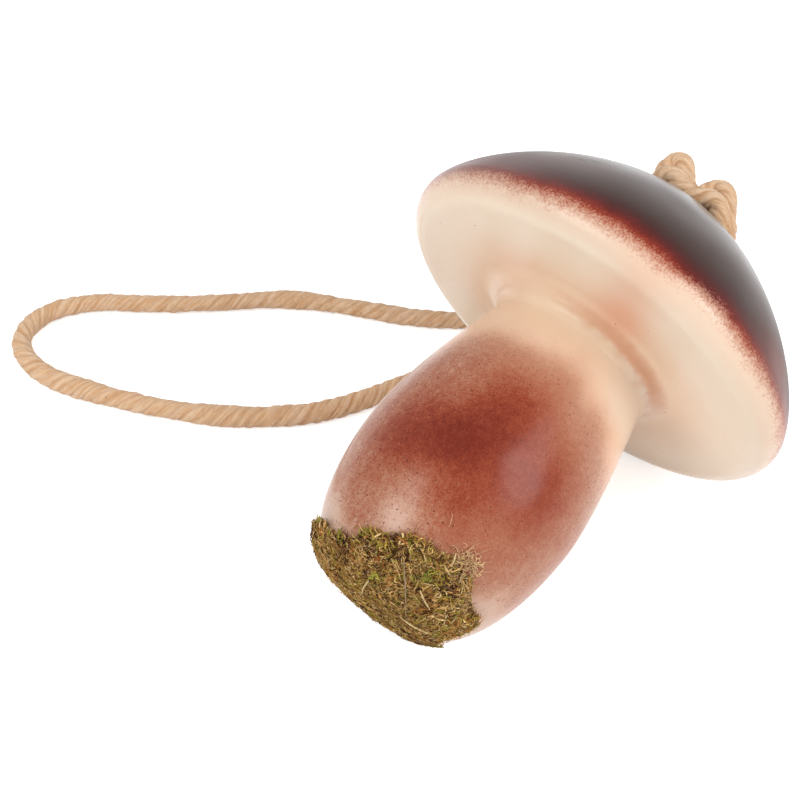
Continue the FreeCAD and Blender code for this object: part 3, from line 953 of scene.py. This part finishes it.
def moss_tufts(name, count, seed):
    """Small tufts of leaflets that stand close together."""
    choice = np.random.default_rng(seed)
    along, angles = scattered(count, choice, 0.2)
    leaflets = 7
    tints = moss_tints(along, angles, choice)
    along, angles = np.repeat(along, leaflets), np.repeat(angles, leaflets)
    lift = 0.2 + np.repeat(choice.uniform(0.5, 1.2, count), leaflets) * mat_share(angles)
    start, normal, flat = headed(along, angles, lift, choice)
    length = choice.uniform(0.45, 1.05, len(along))[:, None, None]
    rise = choice.uniform(0.0, 0.8, len(along))[:, None, None]
    share = np.linspace(0, 1, 4)[:, None]
    lines = (start[:, None] + flat[:, None] * length * share
             + normal[:, None] * length * rise * (share - 0.7 * share ** 2))
    radii = choice.uniform(0.07, 0.14, len(along))[:, None] * (0.7, 1.0, 0.9, 0.3)
    tints = np.repeat(tints, leaflets, axis=0) * choice.uniform(0.8, 1.2, (len(along), 1))
    fibre_piece(name, lines, radii, tints)


def named_fibres(name, routes, radius, shade):
    """Single fibres through places given as distance along the outline, angle and lift."""
    lines, radii = [], []
    for route in routes:
        along, angles, lift = np.array(route, dtype=float).T
        points = on_foot(along, angles, lift)[0]
        places = np.linspace(0, len(points) - 1, 14)
        numbers = np.arange(len(points))
        smooth = np.stack([np.interp(places, numbers, points[:, k]) for k in range(3)], axis=1)
        for _ in range(3):
            smooth[1:-1] = (smooth[:-2] + 2 * smooth[1:-1] + smooth[2:]) / 4
        lines.append(smooth)
        radii.append(radius * np.interp(np.linspace(0, 1, 14), (0, 0.2, 0.7, 1.0), (0.7, 1.0, 0.8, 0.3)))
    tints = plain(*shade)[None, :].repeat(len(lines), 0)
    fibre_piece(name, np.array(lines), np.array(radii), tints, 5)


def sprigs(name, places, seed, shade, spread, count, length):
    """Small bunches of coloured leaflets round distances along the outline and angles."""
    choice = np.random.default_rng(seed)
    along = np.concatenate([place[0] + choice.normal(0, spread, count) for place in places])
    angles = np.concatenate([place[1] + choice.normal(0, spread, count) * 2.4 for place in places])
    lift = 0.25 + choice.uniform(0.8, 1.6, len(along)) * mat_share(angles)
    start, normal, flat = headed(along, angles, lift, choice)
    lengths = length * choice.uniform(0.6, 1.3, len(along))
    bend, arch = choice.normal(0, 0.8, len(along)), choice.uniform(0.1, 0.7, len(along))
    lines = curled(start, normal, flat, lengths, bend, arch)
    radii = choice.uniform(0.1, 0.17, len(along))[:, None] * (0.5, 1.0, 1.2, 1.0, 0.7, 0.2)
    tints = plain(*shade) * choice.uniform(0.7, 1.25, (len(along), 1))
    fibre_piece(name, lines, radii, tints)


def frizz(name, places, seed, count, length):
    """Fine curly fibres round distances along the outline and angles."""
    choice = np.random.default_rng(seed)
    along = np.concatenate([place[0] + choice.normal(0, 0.9, count) for place in places])
    angles = np.concatenate([place[1] + choice.normal(0, 2.4, count) for place in places])
    start, normal, flat = headed(along, angles, choice.uniform(0.15, 0.8, len(along)), choice)
    lengths = length * choice.uniform(0.6, 1.6, len(along))
    bend, arch = choice.normal(0, 1.3, len(along)), choice.uniform(0.0, 0.4, len(along))
    lines = curled(start, normal, flat, lengths, bend, arch, steps=9)
    radii = choice.uniform(0.06, 0.105, len(along))[:, None] * np.interp(
        np.linspace(0, 1, 9), (0, 0.2, 0.7, 1.0), (0.6, 1.0, 0.9, 0.4))
    tints = plain(246, 210, 160) * choice.uniform(0.8, 1.15, (len(along), 1))
    fibre_piece(name, lines, radii, tints)


bed_piece = moss_bed()
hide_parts("foot_moss", "side_moss")
moss_strands("moss_strands", 6500, 21, 1.9, 0.15, 1.75)
moss_strands("moss_threads", 3000, 22, 2.8, 0.08, 1.9)
moss_tufts("moss_tufts", 2600, 23)
sprigs("moss_green_tuft", [(22, 128.5), (23.4, 130)], 51, (146, 146, 64), 0.75, 26, 1.6)
sprigs("moss_yellow_sprig", [(16.4, 106), (15.2, 104)], 52, (196, 190, 86), 0.4, 18, 1.6)
sprigs("moss_rusty_tufts", [(20, 104), (23.2, 171), (13, 232), (12.5, 190), (19, 50)],
       53, (176, 110, 52), 0.55, 22, 1.4)
sprigs("moss_olive_tufts", [(19.5, 72), (20.2, 48), (22.5, 88), (16, 215), (12, 240)],
       54, (168, 156, 70), 0.6, 26, 1.4)
sprigs("moss_straw_tufts", [(29, 137), (26.5, 150), (24, 160), (27.5, 142)],
       55, (206, 172, 122), 0.8, 34, 1.6)
named_fibres("moss_twig", [
    [(22.6, 116, 1.9), (20.8, 121, 2.4), (18.5, 128, 2.3), (15.8, 137, 2.3), (13.4, 148, 1.9)],
], 0.16, (160, 138, 112))
named_fibres("moss_sticks", [
    [(15.2, 104.5, 2.1), (11.6, 101, 2.2), (8.8, 99, 1.9)],
    [(30.2, 132.6, 1.6), (29, 134, 2.1), (27.6, 135.4, 1.9)],
    [(20.5, 133, 2.2), (19.6, 140, 2.4), (19, 147, 2)],
    [(12.9, 147, 2), (14, 158, 2.2), (15.3, 168, 1.9)],
], 0.2, (222, 196, 146))
frizz("edge_frizz", [(30, 135), (30, 142), (31.6, 140), (29.2, 148), (31, 147), (30.6, 144)],
      61, 16, 1.5)
named_fibres("loose_fibres", [
    [(27, 112.4, 0.4), (28.4, 111, 0.7), (29.4, 110.8, 0.5), (30.2, 111.4, 0.3)],
    [(33, 122.4, 0.3), (34.2, 121.6, 0.5), (35.2, 120.4, 0.4), (35.6, 119, 0.2)],
    [(31.4, 139, 0.4), (33, 142, 0.6), (34.2, 143, 0.4), (35.4, 145, 0.2)],
    [(30, 135, 0.5), (31.8, 137, 0.7), (33.2, 137, 0.4), (34.8, 139, 0.2)],
    [(29.4, 146, 0.5), (31, 149, 0.6), (31.8, 153, 0.3), (32.8, 155, 0.2)],
], 0.06, (226, 186, 144))

# Floor, which shows white and keeps the shadow, and a pale room
white = (1.0, 1.0, 1.0, 1.0)


def seen_share(tree):
    """One for rays that show a background: from the camera, reflected or let through."""
    rays = new_node(tree, "LightPath").outputs
    share = rays["Is Camera Ray"]
    for kind in ("Is Glossy Ray", "Is Transmission Ray"):
        share = new_node(tree, "Math", share, rays[kind], operation="MAXIMUM").outputs[0]
    return share


floor_size = 3.0
floor_mesh = bpy.data.meshes.new("floor")
floor_corners = [(x * floor_size, y * floor_size, 0) for x, y in ((-1, -1), (1, -1), (1, 1), (-1, 1))]
floor_mesh.from_pydata(floor_corners, [], [(0, 1, 2, 3)])
floor_piece = new_object("floor", floor_mesh)
floor_material = bpy.data.materials.new("floor")
floor_tree = empty_tree(floor_material)
floor_share = new_node(floor_tree, "Math", seen_share(floor_tree), 0.6, operation="MULTIPLY").outputs[0]
floor_glow = new_node(floor_tree, "Emission", white, floor_share).outputs[0]
floor_paint = new_node(floor_tree, "BsdfDiffuse", (0.9, 0.9, 0.9, 1.0)).outputs[0]
floor_sum = new_node(floor_tree, "AddShader", floor_paint, floor_glow).outputs[0]
new_node(floor_tree, "OutputMaterial", floor_sum)
floor_mesh.materials.append(floor_material)

world = bpy.data.worlds.new("world")
bpy.context.scene.world = world
world_tree = empty_tree(world)
world_light = new_node(world_tree, "Background", white, 0.58).outputs[0]
world_shown = new_node(world_tree, "Background", white, 1.0).outputs[0]
world_mix = new_node(world_tree, "MixShader", seen_share(world_tree), world_light, world_shown).outputs[0]
new_node(world_tree, "OutputWorld", world_mix)


def soft_box(name, target, direction, wide, tall, power):
    """A round or oval area light, one metre from the point that it faces."""
    data = bpy.data.lights.new(name, "AREA")
    data.shape = "ELLIPSE"
    data.size = wide
    data.size_y = tall
    data.energy = power
    lamp = new_object(name, data)
    way = Vector(direction).normalized()
    lamp.location = Vector(target) + way
    lamp.rotation_euler = way.to_track_quat("Z", "Y").to_euler()


# Two soft boxes, on the right and left of the camera
soft_box("right_light", (-0.02, -0.015, 0.045), (0.17, -0.82, 0.53), 0.48, 0.82, 5.1)
soft_box("left_light", (-0.045, 0.0, 0.05), (-0.69, 0.25, 0.68), 0.62, 0.62, 4.4)
